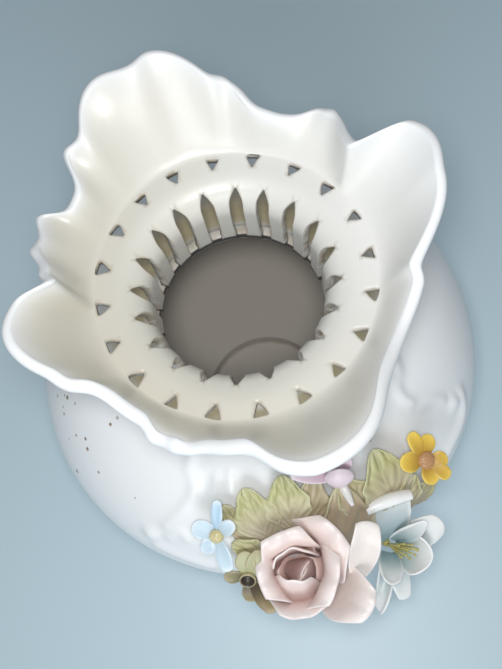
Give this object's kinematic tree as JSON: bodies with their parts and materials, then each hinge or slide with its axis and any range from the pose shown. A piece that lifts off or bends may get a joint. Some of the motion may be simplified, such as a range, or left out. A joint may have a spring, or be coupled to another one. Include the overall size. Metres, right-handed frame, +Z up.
{
  "type": "porcelain vase",
  "caption": "Squat glazed porcelain vase with a pierced neck, a flared lobed rim and a cluster of applied flowers and leaves on its shoulder.",
  "frame": {"origin": "on the vase's axis at the underside of the foot, where it rests", "axes": "+Z up the vase's axis, -Y towards the side that carries the flowers, +X to the right as seen from that side"},
  "size_m": [0.228, 0.2594, 0.2359],
  "materials": {
    "white_porcelain": "glossy clear glaze over off-white porcelain, slightly pitted",
    "rose_pink": "pale pink, near white at the edges, satin gloss",
    "rose_heart_pink": "deeper salmon pink, satin gloss",
    "bud_pink": "cool pink, satin gloss",
    "lily_white": "white with a blue-grey inside, satin gloss",
    "stamen_yellow": "olive yellow, satin gloss",
    "daisy_yellow": "golden yellow with ochre edges, gloss",
    "daisy_orange": "orange brown, gloss",
    "flower_blue": "pale sky blue, gloss",
    "centre_mustard": "mustard yellow, gloss",
    "ochre_brown": "ochre brown, gloss",
    "leaf_green": "sage green washed over grey-white, gloss"
  },
  "bodies": {
    "root": {"blue_flower_centre": "centre_mustard", "blue_flower_petal_1": "flower_blue", "blue_flower_petal_2": "flower_blue", "blue_flower_petal_3": "flower_blue", "blue_flower_petal_4": "flower_blue", "blue_flower_petal_5": "flower_blue", "body_bowl": "white_porcelain", "bud_heart": "bud_pink", "bud_petal_front": "bud_pink", "bud_petal_left": "bud_pink", "bud_petal_top": "bud_pink", "bud_sepal": "bud_pink", "leaf_broad": "leaf_green", "leaf_curled": "leaf_green", "leaf_far_right": "leaf_green", "leaf_left": "leaf_green", "leaf_left_tall": "leaf_green", "leaf_middle": "leaf_green", "leaf_middle_right": "leaf_green", "leaf_narrow": "leaf_green", "leaf_right": "leaf_green", "leaf_right_tall": "leaf_green", "lily_petal_low": "lily_white", "lily_petal_low_left": "lily_white", "lily_petal_low_right": "lily_white", "lily_petal_middle": "lily_white", "lily_petal_right": "lily_white", "lily_petal_top": "lily_white", "lily_petal_top_right": "lily_white", "lily_stamens": "stamen_yellow", "ochre_flower_centre": "ochre_brown", "ochre_flower_petal_1": "ochre_brown", "ochre_flower_petal_2": "ochre_brown", "ochre_flower_petal_3": "ochre_brown", "ochre_flower_petal_4": "ochre_brown", "ochre_flower_petal_5": "ochre_brown", "ochre_flower_petal_6": "ochre_brown", "pierced_rim": "white_porcelain", "rose_heart": "rose_heart_pink", "rose_petal_back": "rose_pink", "rose_petal_back_right": "rose_pink", "rose_petal_inner_back": "rose_pink", "rose_petal_inner_low": "rose_pink", "rose_petal_inner_right": "rose_pink", "rose_petal_left": "rose_pink", "rose_petal_low": "rose_pink", "rose_petal_low_right": "rose_pink", "rose_petal_right": "rose_pink", "yellow_daisy_centre": "daisy_orange", "yellow_daisy_petal_1": "daisy_yellow", "yellow_daisy_petal_2": "daisy_yellow", "yellow_daisy_petal_3": "daisy_yellow", "yellow_daisy_petal_4": "daisy_yellow", "yellow_daisy_petal_5": "daisy_yellow", "yellow_daisy_petal_6": "daisy_yellow"}
  },
  "joints": []
}
